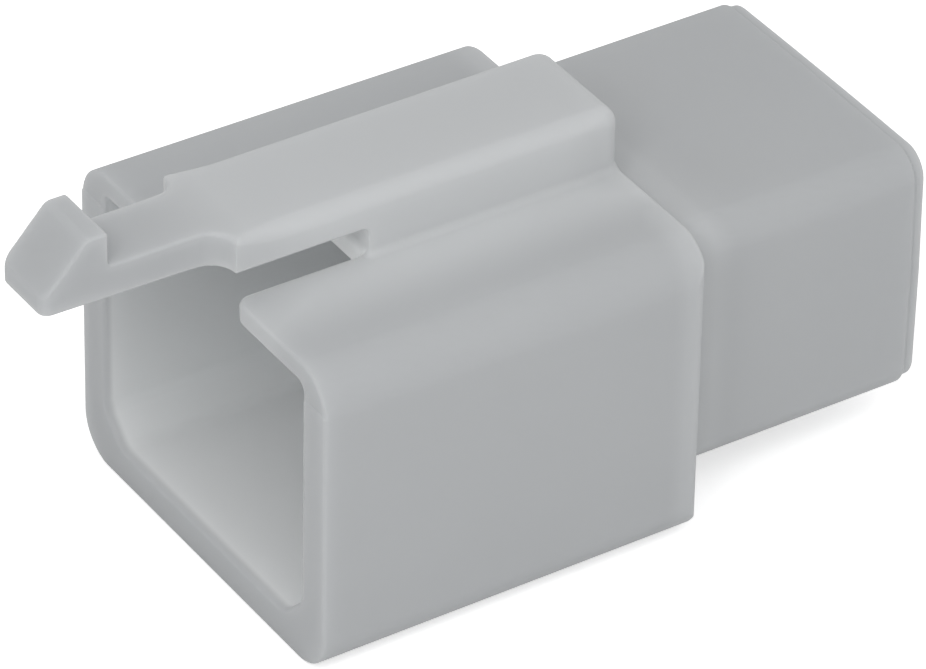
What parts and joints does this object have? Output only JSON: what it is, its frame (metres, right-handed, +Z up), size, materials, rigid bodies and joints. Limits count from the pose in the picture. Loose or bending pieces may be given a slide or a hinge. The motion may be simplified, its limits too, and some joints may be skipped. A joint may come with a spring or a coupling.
{
  "type": "wire to board connector housing",
  "caption": "One-piece moulded plug housing with an open shroud, a narrower wire end with terminal cavities, and a latch arm with a hook on top.",
  "frame": {"origin": "middle of the overall length and width, at the underside of the shroud", "axes": "+X from the mouth towards the wires, +Z up towards the latch, +Y to the side; the latch arm's hook points to -X in front of the mouth"},
  "size_m": [0.0424, 0.0208, 0.0209],
  "materials": {
    "nylon": "satin, slightly translucent natural nylon as moulded"
  },
  "bodies": {
    "root": {"housing": "nylon"}
  },
  "joints": []
}
